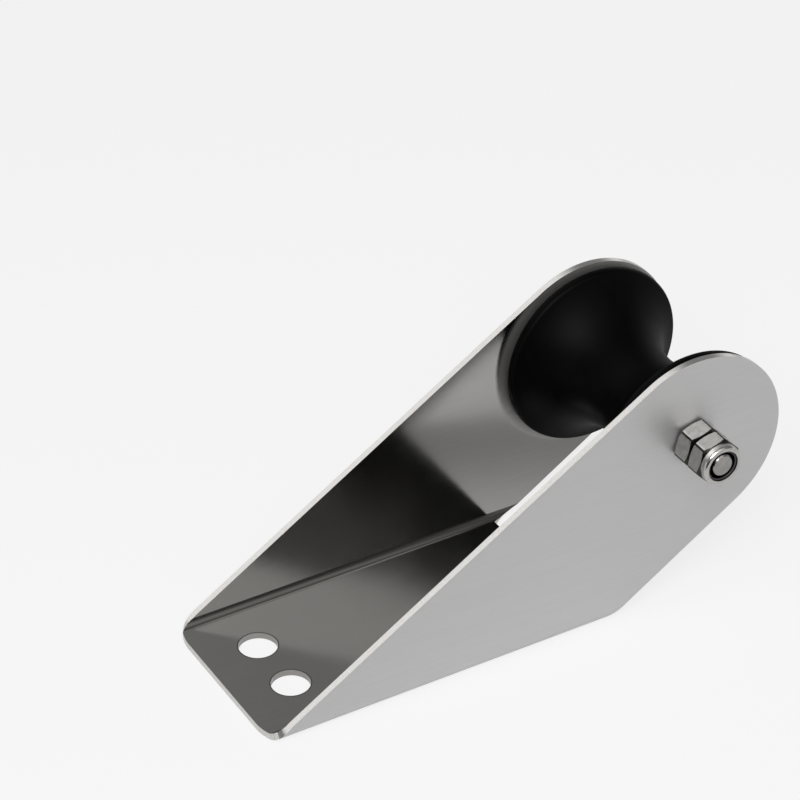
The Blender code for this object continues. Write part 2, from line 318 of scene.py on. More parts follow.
@dataclass(frozen=True)
class CutSheetEdge:
    """Laser-cut and deburred edge of the sheet, glossier than its faces: the outline is drawn paler as a
    painted highlight, and the walls of the deck holes darker as painted shade.
    """

    name: str = "deburred_stainless_edge"
    # Pale colour of the outline: a painted highlight along the cut edges.
    colour: str = "#e2e0dd"
    shade: str = "#d9d7d4"
    # Colour of the deck holes' walls, darker as painted shade.
    painted_hole_shade: str = "#a6a4a1"
    hole_reach: float = 0.0063
    hole_fade: float = 0.0003
    hole_middle: float = 0.001
    streak_mm: float = 0.6
    streak_depth_mm: float = 0.004

    def material(self) -> bpy.types.Material:
        """Build the node material."""
        material, tree, output = new_material(self.name)
        place = add_node(tree, "ShaderNodeTexCoord")
        streaks = add_node(tree, "ShaderNodeTexNoise",
                           values={"Scale": 1 / (self.streak_mm * MILLIMETRE), "Detail": 2.0},
                           links={"Vector": place.outputs["Object"]})
        tint = add_node(tree, "ShaderNodeValToRGB", links={"Fac": streaks.outputs["Fac"]})
        set_ramp(tint, [(0.35, linear(self.shade)), (0.65, linear(self.colour))])
        unsigned = add_node(tree, "ShaderNodeVectorMath", {"operation": "ABSOLUTE"},
                            links={0: place.outputs["Object"]})
        away = add_node(tree, "ShaderNodeVectorMath", {"operation": "DISTANCE"},
                        {1: (0.0, DECK_HOLE_Y, self.hole_middle)}, {0: unsigned.outputs[0]})
        # Paint shade into the walls of the deck holes.
        holes = band(tree, away.outputs["Value"], 0.0, self.hole_reach, self.hole_fade)
        mixed = add_node(tree, "ShaderNodeMix", {"data_type": "RGBA"}, {7: linear(self.painted_hole_shade)},
                         {0: holes, 6: tint.outputs[0]})
        rough = add_node(tree, "ShaderNodeMapRange", values={"To Min": 0.16, "To Max": 0.24},
                         links={"Value": streaks.outputs["Fac"]})
        bump = add_node(tree, "ShaderNodeBump",
                        values={"Strength": 0.3, "Distance": self.streak_depth_mm * MILLIMETRE},
                        links={"Height": streaks.outputs["Fac"]})
        shader = add_node(tree, "ShaderNodeBsdfPrincipled", values={"Metallic": 1.0},
                          links={"Base Color": mixed.outputs[2], "Roughness": rough.outputs[0],
                                 "Normal": bump.outputs[0]})
        tree.links.new(shader.outputs[0], output.inputs["Surface"])
        return material


@dataclass(frozen=True)
class MottledFinish:
    """Finish whose colour, gloss and relief all follow one fine random pattern."""

    name: str
    colour: str
    shade: str
    spot_mm: float
    metallic: float
    coarseness: float
    dullness: tuple[float, float]
    relief: float
    relief_mm: float = 0.02

    def material(self) -> bpy.types.Material:
        """Build the node material."""
        material, tree, output = new_material(self.name)
        place = add_node(tree, "ShaderNodeTexCoord")
        spots = add_node(tree, "ShaderNodeTexNoise",
                         values={"Scale": 1 / (self.spot_mm * MILLIMETRE), "Detail": 3.0,
                                 "Roughness": self.coarseness},
                         links={"Vector": place.outputs["Object"]})
        tint = add_node(tree, "ShaderNodeValToRGB", links={"Fac": spots.outputs["Fac"]})
        set_ramp(tint, [(0.3, linear(self.shade)), (0.7, linear(self.colour))])
        rough = add_node(tree, "ShaderNodeMapRange",
                         values={"To Min": self.dullness[0], "To Max": self.dullness[1]},
                         links={"Value": spots.outputs["Fac"]})
        bump = add_node(tree, "ShaderNodeBump",
                        values={"Strength": self.relief, "Distance": self.relief_mm * MILLIMETRE},
                        links={"Height": spots.outputs["Fac"]})
        shader = add_node(tree, "ShaderNodeBsdfPrincipled", values={"Metallic": self.metallic},
                          links={"Base Color": tint.outputs[0], "Roughness": rough.outputs[0],
                                 "Normal": bump.outputs[0]})
        tree.links.new(shader.outputs[0], output.inputs["Surface"])
        return material


@dataclass(frozen=True)
class TumbledStainless(MottledFinish):
    """Cold-formed stainless fastener, tumbled bright, with small dents that blur its glints."""

    name: str = "tumbled_stainless_fastener"
    colour: str = "#d1cfcc"
    shade: str = "#b8b6b3"
    spot_mm: float = 1.3
    metallic: float = 1.0
    coarseness: float = 0.6
    dullness: tuple[float, float] = (0.14, 0.26)
    relief: float = 0.5


@dataclass(frozen=True)
class MouldedNylonRing(MottledFinish):
    """Dark nylon of the lock nut's ring, moulded and then scraped by the bolt's thread."""

    name: str = "moulded_dark_nylon_ring"
    colour: str = "#3a3a3d"
    shade: str = "#2e2e31"
    spot_mm: float = 1.1
    metallic: float = 0.0
    coarseness: float = 0.5
    dullness: tuple[float, float] = (0.4, 0.6)
    relief: float = 0.3


@dataclass(frozen=True)
class TurnedNylon:
    """Black nylon turned on a lathe: a soft dark sheen over fine rings round the axle."""

    name: str = "turned_black_nylon"
    colour: str = "#030304"
    shade: str = "#010102"
    ring_mm: float = 0.45
    ring_depth_mm: float = 0.004
    mottle_mm: float = 3.85

    def material(self) -> bpy.types.Material:
        """Build the node material."""
        material, tree, output = new_material(self.name)
        place = add_node(tree, "ShaderNodeTexCoord")
        # The tool's feed leaves rings that follow the axle. A real feed is about 0.1 mm,
        # which is drawn coarser so that it shows.
        feed = add_node(tree, "ShaderNodeTexWave",
                        {"wave_type": "BANDS", "bands_direction": "Y", "wave_profile": "SIN"},
                        {"Scale": 2 * math.pi / (20 * self.ring_mm * MILLIMETRE), "Distortion": 0.3,
                         "Detail": 1.0},
                        {"Vector": place.outputs["Object"]})
        mottle = add_node(tree, "ShaderNodeTexNoise",
                          values={"Scale": 1 / (self.mottle_mm * MILLIMETRE), "Detail": 4.0},
                          links={"Vector": place.outputs["Object"]})
        tint = add_node(tree, "ShaderNodeValToRGB", links={"Fac": mottle.outputs["Fac"]})
        set_ramp(tint, [(0.3, linear(self.shade)), (0.7, linear(self.colour))])
        rough = add_node(tree, "ShaderNodeMapRange", values={"To Min": 0.42, "To Max": 0.54},
                         links={"Value": mottle.outputs["Fac"]})
        bump = add_node(tree, "ShaderNodeBump",
                        values={"Strength": 0.6, "Distance": self.ring_depth_mm * MILLIMETRE},
                        links={"Height": feed.outputs["Fac"]})
        shader = add_node(tree, "ShaderNodeBsdfPrincipled",
                          values={"Metallic": 0.0, "IOR": 1.5, "Specular IOR Level": 0.05},
                          links={"Base Color": tint.outputs[0], "Roughness": rough.outputs[0],
                                 "Normal": bump.outputs[0]})
        tree.links.new(shader.outputs[0], output.inputs["Surface"])
        return material


def arc_of(bm: bmesh.types.BMesh, start: Vector, centre: Vector, axis: Vector, angle: float,
           steps: int) -> list[bmesh.types.BMVert]:
    """Spin one vertex into an arc of edges.

    Args:
        bm: Mesh that takes the arc.
        start: First point of the arc.
        centre: Centre of the arc.
        axis: Axis to spin about.
        angle: Signed angle in radians.
        steps: Number of edges.

    Returns:
        The arc's vertices in order, the first one included.
    """
    first = bm.verts.new(start)
    before = set(bm.verts)
    bmesh.ops.spin(bm, geom=[first], cent=centre, axis=axis, angle=angle, steps=steps,
                   use_merge=False, use_duplicate=False)
    added = [vert for vert in bm.verts if vert not in before]
    return [first] + added


def join_chain(bm: bmesh.types.BMesh, verts: Sequence[bmesh.types.BMVert], closed: bool) -> None:
    """Add the edges that a chain of vertices still lacks.

    Args:
        bm: Mesh of the vertices.
        verts: Vertices in order.
        closed: Whether the last one joins the first.
    """
    following = list(verts[1:]) + ([verts[0]] if closed else [])
    for first, second in zip(verts, following):
        if bm.edges.get((first, second)) is None:
            bm.edges.new((first, second))


def revolve(bm: bmesh.types.BMesh, axle: Vector, steps: int) -> None:
    """Spin the whole mesh, a profile of edges, into a closed turned shape about Y.

    Args:
        bm: Mesh that holds only the profile.
        axle: Point on the axis.
        steps: Number of steps in the full turn.
    """
    bmesh.ops.spin(bm, geom=bm.verts[:] + bm.edges[:], cent=axle, axis=ALONG_Y,
                   angle=2 * math.pi, steps=steps, use_merge=True, use_duplicate=False)
    bmesh.ops.remove_doubles(bm, verts=bm.verts, dist=MERGE)
    bmesh.ops.recalc_face_normals(bm, faces=bm.faces)


def make_piece(name: str, bm: bmesh.types.BMesh, materials: Iterable[bpy.types.Material],
               body: Body, node: str, smooth: float = 30.0) -> bpy.types.Object:
    """Turn a bmesh into a finished piece that stands for a node of the frame.

    Args:
        name: Name of the piece.
        bm: Its mesh, which is freed.
        materials: Materials in slot order.
        body: Body that it rides on.
        node: Node that it replaces.
        smooth: Largest angle between faces, in degrees, that is shaded smooth.

    Returns:
        The new object.
    """
    mesh = bpy.data.meshes.new(name)
    bm.to_mesh(mesh)
    bm.free()
    for material in materials:
        mesh.materials.append(material)
    mesh.shade_smooth()
    mesh.set_sharp_from_angle(angle=math.radians(smooth))
    obj = bpy.data.objects.new(name, mesh)
    bpy.context.scene.collection.objects.link(obj)
    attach(obj, body.value)
    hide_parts(node)
    LOG.info("%s: %d faces, stands for %s", name, len(mesh.polygons), node)
    return obj


def round_edges(obj: bpy.types.Object, width: float, segments: int, angle: float) -> None:
    """Round a piece's sharp edges with a Bevel modifier.

    Args:
        obj: Piece.
        width: Width of the rounding in metres.
        segments: Number of steps across it.
        angle: Smallest edge angle, in degrees, that is rounded.
    """
    bevel = obj.modifiers.new("rounded_edges", "BEVEL")
    bevel.width = width
    bevel.segments = segments
    bevel.limit_method = "ANGLE"
    bevel.angle_limit = math.radians(angle)
    bevel.harden_normals = True


@dataclass
class ChannelBracket:
    """Sheet channel: a blank with its holes cut flat, then folded up on both sides."""

    width: float = 0.060
    sheet: float = 0.002
    bend_inside: float = 0.002
    base_length: float = 0.1068
    tip_rise: float = 0.0031
    tip_round: float = 0.016
    nose_radius: float = 0.02929
    nose_x: float = 0.1216
    nose_z: float = 0.0532
    hole_inset: float = 0.0170
    hole_spacing: float = 0.0195
    hole_diameter: float = 0.0115
    axle_x: float = 0.1211
    axle_z: float = 0.0556
    bolt_passage: float = 0.0043
    edge_round: float = 0.0003
    bend_steps: int = 16
    nose_steps: int = 96
    tip_steps: int = 24
    hole_steps: int = 72

    @property
    def outside_radius(self) -> float:
        """Outside radius of the bend."""
        return self.bend_inside + self.sheet

    @property
    def half_base(self) -> float:
        """Half of the flat base, up to where the bend starts."""
        return self.width / 2 - self.outside_radius

    @property
    def bend_arc(self) -> float:
        """Length of the bend along the outer face."""
        return self.outside_radius * math.pi / 2

    def developed(self, height: float) -> float:
        """Distance across the flat blank of a point at this height on a cheek."""
        return self.half_base + self.bend_arc + height - self.outside_radius

    def touching_angle(self, point: Vector, centre: Vector, side: int) -> float:
        """Find where a straight cut from a point meets the round nose.

        Args:
            point: Point outside the nose's circle.
            centre: Centre of that circle.
            side: 1 or -1 for the two touching points.

        Returns:
            The angle on the circle in radians.
        """
        away = point - centre
        return math.atan2(away.y, away.x) + side * math.acos(self.nose_radius / away.length)

    def rounded_tip(self, bm: bmesh.types.BMesh, tip: Vector, beyond: Vector) -> list[bmesh.types.BMVert]:
        """Round the corner where the cheek's long edge meets the inboard end.

        Args:
            bm: Mesh of the blank.
            tip: The corner if it were sharp.
            beyond: Another point on the long edge.

        Returns:
            The vertices of the rounding, from the long edge to the inboard end.
        """
        edge = (beyond - tip).normalized()
        end = Vector((0.0, -1.0, 0.0))
        half = edge.angle(end) / 2
        centre = tip + (edge + end).normalized() * self.tip_round / math.sin(half)
        start = tip + edge * self.tip_round / math.tan(half)
        return arc_of(bm, start, centre, ALONG_Z, math.pi - 2 * half, self.tip_steps)

    def half_blank(self) -> bmesh.types.BMesh:
        """Cut half of the flat blank, with its deck hole and its bolt hole."""
        bm = bmesh.new()
        left = -self.hole_inset
        right = left + self.base_length
        tip = Vector((left, self.half_base + self.tip_rise, 0.0))
        foot = Vector((right, self.half_base, 0.0))
        nose = Vector((self.nose_x, self.developed(self.nose_z), 0.0))
        lower = self.touching_angle(foot, nose, 1)
        upper = self.touching_angle(tip, nose, -1)
        if lower > upper:
            lower -= 2 * math.pi
        start = nose + self.nose_radius * Vector((math.cos(lower), math.sin(lower), 0.0))
        arc = arc_of(bm, start, nose, ALONG_Z, upper - lower, self.nose_steps)
        corner = self.rounded_tip(bm, tip, arc[-1].co)
        rest = [bm.verts.new(point) for point in
                (Vector((left, 0.0, 0.0)), Vector((right, 0.0, 0.0)), foot)]
        join_chain(bm, arc + corner + rest, closed=True)
        deck_hole = Vector((0.0, self.hole_spacing / 2, 0.0))
        bolt_hole = Vector((self.axle_x, self.developed(self.axle_z), 0.0))
        for centre, radius in ((deck_hole, self.hole_diameter / 2), (bolt_hole, self.bolt_passage)):
            bmesh.ops.create_circle(bm, segments=self.hole_steps, radius=radius,
                                    matrix=Matrix.Translation(centre))
        bmesh.ops.triangle_fill(bm, use_beauty=True, use_dissolve=False, edges=bm.edges[:])
        return bm

    def fold(self, bm: bmesh.types.BMesh) -> None:
        """Crease the blank across the bend and turn it up a little at each crease.

        Args:
            bm: Half of the flat blank.
        """
        step = self.bend_arc / self.bend_steps
        creases = [self.half_base + i * step for i in range(self.bend_steps + 1)]
        for line in creases:
            bmesh.ops.bisect_plane(bm, geom=bm.verts[:] + bm.edges[:] + bm.faces[:], dist=MERGE,
                                   plane_co=(0.0, line, 0.0), plane_no=ALONG_Y)
        flat = {vert: vert.co.y for vert in bm.verts}
        turn = math.pi / 2 / self.bend_steps
        place = Vector((0.0, self.half_base, 0.0))
        heading = 0.0
        for number, line in enumerate(creases):
            part = turn / 2 if number in (0, self.bend_steps) else turn
            beyond = [vert for vert in bm.verts if flat[vert] > line + MERGE]
            bmesh.ops.rotate(bm, verts=beyond, cent=place, matrix=Matrix.Rotation(part, 3, "X"))
            heading += part
            place = place + step * Vector((0.0, math.cos(heading), math.sin(heading)))
        bmesh.ops.dissolve_limit(bm, angle_limit=math.radians(0.5), verts=bm.verts[:], edges=bm.edges[:])

    def build(self, outside: bpy.types.Material, inside: bpy.types.Material,
              edge: bpy.types.Material) -> bpy.types.Object:
        """Build the channel.

        Args:
            outside: Material of the underside and of the cheeks' outer faces.
            inside: Material of the faces inside the channel.
            edge: Material of the cut edges.

        Returns:
            The finished piece.
        """
        bm = self.half_blank()
        self.fold(bm)
        bmesh.ops.mirror(bm, geom=bm.verts[:] + bm.edges[:] + bm.faces[:], matrix=Matrix.Identity(4),
                         merge_dist=MERGE, axis="Y")
        bmesh.ops.remove_doubles(bm, verts=bm.verts, dist=MERGE)
        bmesh.ops.recalc_face_normals(bm, faces=bm.faces)
        underside = min(bm.faces, key=lambda item: item.calc_center_median().z)
        if underside.normal.z > 0:
            bmesh.ops.reverse_faces(bm, faces=bm.faces)
        obj = make_piece("folded_channel", bm, (outside, inside, edge), Body.BRACKET,
                         "channel_bracket")
        walls = obj.modifiers.new("sheet", "SOLIDIFY")
        walls.thickness = self.sheet
        walls.offset = -1.0
        walls.use_even_offset = True
        walls.material_offset = 1
        walls.material_offset_rim = 2
        round_edges(obj, self.edge_round, 3, 50.0)
        return obj


@dataclass
class GroovedRoller:
    """Hourglass roller with a narrow rounded rim at each end and a wide bore."""

    axle: Vector
    near: float
    far: float
    radius: float
    waist: float = 0.014
    rim: float = 0.0027
    rim_round: float = 0.001
    bore: float = 0.0073
    groove_steps: int = 64
    turn_steps: int = 200

    @classmethod
    def from_frame(cls) -> "GroovedRoller":
        """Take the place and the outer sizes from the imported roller."""
        low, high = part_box("roller")
        middle = (low + high) / 2
        return cls(axle=middle, near=low.y, far=high.y, radius=(high.z - low.z) / 2)

    def profile(self) -> bmesh.types.BMesh:
        """Make half of the roller's section as one face with rounded corners."""
        bm = bmesh.new()
        half = (self.far - self.near) / 2
        mouth = half - self.rim
        depth = self.radius - self.waist
        hollow = (mouth ** 2 + depth ** 2) / (2 * depth)
        spread = math.asin(mouth / hollow)
        centre = self.axle + Vector((self.waist + hollow, 0.0, 0.0))
        start = self.axle + Vector((self.radius, mouth, 0.0))
        groove = arc_of(bm, start, centre, ALONG_Z, 2 * spread, self.groove_steps)
        corners = [bm.verts.new(self.axle + Vector(point)) for point in
                   ((self.radius, -half, 0.0), (self.bore, -half, 0.0),
                    (self.bore, half, 0.0), (self.radius, half, 0.0))]
        bm.faces.new(groove + corners)
        rims = [corners[0], corners[3], groove[0], groove[-1]]
        bmesh.ops.bevel(bm, geom=rims, offset=self.rim_round, offset_type="OFFSET", segments=5,
                        profile=0.5, affect="VERTICES", material=-1)
        return bm

    def build(self, nylon: bpy.types.Material) -> bpy.types.Object:
        """Build the roller.

        Args:
            nylon: Its material.

        Returns:
            The finished piece.
        """
        bm = self.profile()
        bmesh.ops.delete(bm, geom=bm.faces[:], context="FACES_ONLY")
        revolve(bm, self.axle, self.turn_steps)
        return make_piece("grooved_roller", bm, (nylon,), Body.ROLLER, "roller", 40.0)


@dataclass
class HexagonShape:
    """Outline and chamfers that the bolt's head and both nuts share."""

    across_flats: float = 0.013
    corner_round: float = 0.00035
    # Which corner faces take the painted shade: half their width in degrees, their least distance from the
    # axis and their greatest tilt.
    corner_width: float = 3.2
    corner_from: float = 0.00663
    corner_tilt: float = 0.2
    chamfer_start: float = 0.0059
    chamfer_angle: float = 30.0
    edge_round: float = 0.00008
    steps: int = 144

    def off_corner(self, angle: float) -> float:
        """Signed angle from the nearest corner, in radians, of an angle from the first corner."""
        sixth = math.pi / 3
        return (angle + sixth / 2) % sixth - sixth / 2

    def reach(self, angle: float) -> float:
        """Distance from the axis to the outline, with its corners rounded.

        Args:
            angle: Angle from a corner in radians.

        Returns:
            The radius of the outline there.
        """
        twelfth = math.pi / 6
        off_corner = self.off_corner(angle)
        flat = self.across_flats / 2 / math.cos(twelfth - abs(off_corner))
        centre = (self.across_flats / 2 - self.corner_round) / math.cos(twelfth)
        inside = self.corner_round ** 2 - (centre * math.sin(off_corner)) ** 2
        if inside <= 0.0:
            return flat
        return min(flat, centre * math.cos(off_corner) + math.sqrt(inside))

    def drop(self, angle: float) -> float:
        """How far the chamfer has fallen where it meets the side at this angle."""
        beyond = max(0.0, self.reach(angle) - self.chamfer_start)
        return beyond * math.tan(math.radians(self.chamfer_angle))


@dataclass
class AxleStack:
    """Place of the bolt and nuts: everything is made along an axis that runs to -Y."""

    x: float = 0.1211
    z: float = 0.0556
    passage: float = 0.0043

    def ring(self, bm: bmesh.types.BMesh, steps: int, turn: float, radius: Reach,
             depth: Reach) -> list[bmesh.types.BMEdge]:
        """Make one closed ring round the bolt's axis.

        Args:
            bm: Mesh that takes the ring.
            steps: Number of its vertices.
            turn: Angle of its first vertex from +X towards +Z, in radians.
            radius: Radius, or the function that gives it at an angle from the first vertex.
            depth: Y, or the function that gives it at that angle.

        Returns:
            The edges of the ring.
        """
        verts = bmesh.ops.create_circle(bm, segments=steps, radius=1.0)["verts"]
        for number, vert in enumerate(verts):
            angle = 2 * math.pi * number / steps
            size, level = (part(angle) if callable(part) else part for part in (radius, depth))
            vert.co = (self.x + size * math.cos(angle + turn), level,
                       self.z + size * math.sin(angle + turn))
        return list({edge for vert in verts for edge in vert.link_edges})

    def skin(self, bm: bmesh.types.BMesh, levels: Sequence[tuple[Reach, Reach]], steps: int,
             turn: float = 0.0, closed: bool = False, shaded_bands: Sequence[int] = ()) -> list[list]:
        """Make a ring at each level and bridge it to the next.

        Args:
            bm: Mesh that takes the shape.
            levels: Radius and Y of each ring in order.
            steps: Number of vertices in a ring.
            turn: Angle of the first vertex in radians.
            closed: Whether the last ring joins the first through the bore.
            shaded_bands: Numbers of the bands that take the second material, a darker steel as painted
                shade.

        Returns:
            The edges of each ring.
        """
        rings = [self.ring(bm, steps, turn, radius, depth) for radius, depth in levels]
        following = rings[1:] + (rings[:1] if closed else [])
        for number, (first, second) in enumerate(zip(rings, following)):
            made = bmesh.ops.bridge_loops(bm, edges=first + second)
            # Listed bands take the second material, a darker steel as painted shade.
            for face in made["faces"]:
                face.material_index = int(number in shaded_bands)
        bmesh.ops.recalc_face_normals(bm, faces=bm.faces)
        return rings


def paint_corner_shade(bm: bmesh.types.BMesh, stack: AxleStack, shape: HexagonShape, turn: float) -> None:
    """Give the narrow faces along a hexagon's corners the second material, a darker steel that paints dark
    lines of shade along them.

    Args:
        bm: Mesh of a nut.
        stack: Place of the bolt's axis.
        shape: Outline of the nut.
        turn: Angle of its first corner in radians.
    """
    for face in bm.faces:
        middle = face.calc_center_median()
        angle = math.atan2(middle.z - stack.z, middle.x - stack.x) - turn
        away = math.hypot(middle.x - stack.x, middle.z - stack.z)
        near = abs(shape.off_corner(angle)) < math.radians(shape.corner_width)
        if near and away > shape.corner_from and abs(face.normal.y) < shape.corner_tilt:
            face.material_index = 1


@dataclass
class AxleBolt:
    """Hexagon bolt: its head is on the far cheek and its threaded end is in the nuts."""

    stack: AxleStack
    shape: HexagonShape
    head_face: float
    end_face: float
    radius: float = 0.004
    head_height: float = 0.0053
    pitch: float = 0.00125
    thread_depth: float = 0.0006
    thread_length: float = 0.022
    end_chamfer: float = 0.0009
    steps: int = 72

    @classmethod
    def from_frame(cls, stack: AxleStack, shape: HexagonShape) -> "AxleBolt":
        """Take the bolt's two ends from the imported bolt."""
        low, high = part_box("axle_bolt")
        return cls(stack=stack, shape=shape, head_face=high.y, end_face=low.y)

    def head(self, bm: bmesh.types.BMesh) -> None:
        """Add the head with its upper chamfer and its flat bearing face."""
        seat = self.head_face - self.head_height
        shape = self.shape
        levels = [(self.radius, seat), (shape.reach, seat),
                  (shape.reach, lambda a: self.head_face - shape.drop(a)),
                  (shape.chamfer_start, self.head_face), (shape.chamfer_start / 2, self.head_face)]
        rings = self.stack.skin(bm, levels, shape.steps)
        for loop in (rings[0], rings[-1]):
            bmesh.ops.edgeloop_fill(bm, edges=loop)

    def shank(self, bm: bmesh.types.BMesh) -> None:
        """Add the plain shank from inside the head up to the thread."""
        levels = [(self.radius, self.head_face - self.head_height / 2),
                  (self.radius, self.end_face + self.thread_length)]
        for loop in self.stack.skin(bm, levels, self.steps):
            bmesh.ops.edgeloop_fill(bm, edges=loop)

    def thread(self, bm: bmesh.types.BMesh) -> None:
        """Add the thread: one pitch of its profile, spun up along the bolt."""
        start = self.end_face - self.pitch
        root = self.radius - self.thread_depth
        points = ((root, 0.0), (root, 0.1), (self.radius, 0.45), (self.radius, 0.6), (root, 0.95),
                  (root, 1.0))
        verts = [bm.verts.new((self.stack.x + size, start + share * self.pitch, self.stack.z))
                 for size, share in points]
        join_chain(bm, verts, closed=False)
        edges = [edge for vert in verts for edge in vert.link_edges]
        turns = int(self.thread_length / self.pitch) + 3
        own = verts + list(set(edges))
        known = set(bm.verts) - set(verts)
        bmesh.ops.spin(bm, geom=own, cent=(self.stack.x, 0.0, self.stack.z), axis=ALONG_Y,
                       dvec=(0.0, self.pitch / self.steps, 0.0), angle=2 * math.pi * turns,
                       steps=self.steps * turns, use_merge=False, use_duplicate=False)
        made = [vert for vert in bm.verts if vert not in known]
        bmesh.ops.remove_doubles(bm, verts=made, dist=MERGE * 5)
        for level, outward in ((self.end_face, -1.0), (self.end_face + self.thread_length, 1.0)):
            own = [vert for vert in bm.verts if vert not in known]
            faces = {face for vert in own for face in vert.link_faces}
            edges = {edge for vert in own for edge in vert.link_edges}
            cut = bmesh.ops.bisect_plane(bm, geom=own + list(edges) + list(faces), dist=MERGE,
                                         plane_co=(0.0, level, 0.0), plane_no=(0.0, outward, 0.0),
                                         clear_outer=True)
            rim = [item for item in cut["geom_cut"] if isinstance(item, bmesh.types.BMEdge)]
            bmesh.ops.edgeloop_fill(bm, edges=rim)
        for vert in [vert for vert in bm.verts if vert not in known]:
            cone = self.radius - self.end_chamfer + (vert.co.y - self.end_face)
            away = Vector((vert.co.x - self.stack.x, vert.co.z - self.stack.z))
            if away.length > max(cone, MERGE):
                away = away.normalized() * cone
                vert.co.x = self.stack.x + away.x
                vert.co.z = self.stack.z + away.y

    def build(self, steel: bpy.types.Material) -> bpy.types.Object:
        """Build the bolt.

        Args:
            steel: Its material.

        Returns:
            The finished piece.
        """
        bm = bmesh.new()
        self.head(bm)
        self.shank(bm)
        self.thread(bm)
        bmesh.ops.recalc_face_normals(bm, faces=bm.faces)
        return make_piece("hexagon_bolt", bm, (steel,), Body.BRACKET, "axle_bolt")


@dataclass
class PlainNut:
    """Full hexagon nut with a chamfer at both ends and a countersunk bore."""

    stack: AxleStack
    shape: HexagonShape
    inner: float
    outer: float
    turn: float = 14.0
    countersink: float = 0.0005
    # Chamfer bands drawn in darker steel as painted shade.
    shaded_bands: tuple[int, ...] = (1, 3)

    @classmethod
    def from_frame(cls, stack: AxleStack, shape: HexagonShape) -> "PlainNut":
        """Take the nut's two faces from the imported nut."""
        low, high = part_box("plain_nut")
        return cls(stack=stack, shape=shape, inner=high.y, outer=low.y)

    def build(self, steel: bpy.types.Material, painted_shade_steel: bpy.types.Material) -> bpy.types.Object:
        """Build the nut.

        Args:
            steel: Its material.
            painted_shade_steel: Material of its chamfers and corners, a darker steel as painted shade.

        Returns:
            The finished piece.
        """
        bm = bmesh.new()
        shape = self.shape
        bore = self.stack.passage
        mouth = bore + self.countersink
        levels = [(mouth, self.inner), (shape.chamfer_start, self.inner),
                  (shape.reach, lambda a: self.inner - shape.drop(a)),
                  (shape.reach, lambda a: self.outer + shape.drop(a)),
                  (shape.chamfer_start, self.outer), (mouth, self.outer),
                  (bore, self.outer + self.countersink), (bore, self.inner - self.countersink)]
        turn = math.radians(self.turn)
        self.stack.skin(bm, levels, shape.steps, turn, closed=True, shaded_bands=self.shaded_bands)
        paint_corner_shade(bm, self.stack, shape, turn)
        obj = make_piece("full_nut", bm, (steel, painted_shade_steel), Body.BRACKET, "plain_nut")
        round_edges(obj, shape.edge_round, 2, 25.0)
        return obj


@dataclass
class LockNut:
    """Hexagon lock nut whose round collar is crimped over a nylon ring."""

    stack: AxleStack
    shape: HexagonShape
    inner: float
    outer: float
    hexagon_height: float = 0.0057
    collar_radius: float = 0.0063
    collar_round: float = 0.0011
    collar_wall: float = 0.0008
    lip_radius: float = 0.0049
    lip_drop: float = 0.0001
    ring_thickness: float = 0.0016
    gap: float = 0.0003
    crimp_steps: int = 8
    turn: float = 14.0
    # Chamfer bands drawn in darker steel as painted shade.
    shaded_bands: tuple[int, ...] = (1, 3)

    @classmethod
    def from_frame(cls, stack: AxleStack, shape: HexagonShape) -> "LockNut":
        """Take the nut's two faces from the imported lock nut."""
        low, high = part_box("lock_nut")
        return cls(stack=stack, shape=shape, inner=high.y, outer=low.y)

    def build(self, steel: bpy.types.Material, painted_shade_steel: bpy.types.Material) -> bpy.types.Object:
        """Build the lock nut.

        Args:
            steel: Its material.
            painted_shade_steel: Material of its chamfers and corners, a darker steel as painted shade.

        Returns:
            The finished piece.
        """
        bm = bmesh.new()
        shape = self.shape
        bore = self.stack.passage
        pocket = self.collar_radius - self.collar_wall
        shoulder = self.inner - self.hexagon_height
        lip_back = self.outer + self.collar_wall
        pocket_floor = lip_back + self.ring_thickness + 2 * self.gap
        levels = [(bore, self.inner), (shape.chamfer_start, self.inner),
                  (shape.reach, lambda a: self.inner - shape.drop(a)),
                  (shape.reach, lambda a: shoulder + shape.drop(a)), (self.collar_radius, shoulder)]
        crimp = self.collar_radius - self.collar_round
        for step in range(self.crimp_steps + 1):
            angle = math.pi / 2 * step / self.crimp_steps
            levels.append((crimp + self.collar_round * math.cos(angle),
                           self.outer + self.collar_round * (1 - math.sin(angle))))
        levels += [(self.lip_radius, self.outer + self.lip_drop), (self.lip_radius, lip_back),
                   (pocket, lip_back), (pocket, pocket_floor), (bore, pocket_floor)]
        turn = math.radians(self.turn)
        self.stack.skin(bm, levels, shape.steps, turn, closed=True, shaded_bands=self.shaded_bands)
        paint_corner_shade(bm, self.stack, shape, turn)
        obj = make_piece("crimped_lock_nut", bm, (steel, painted_shade_steel), Body.BRACKET, "lock_nut")
        round_edges(obj, shape.edge_round, 2, 25.0)
        return obj


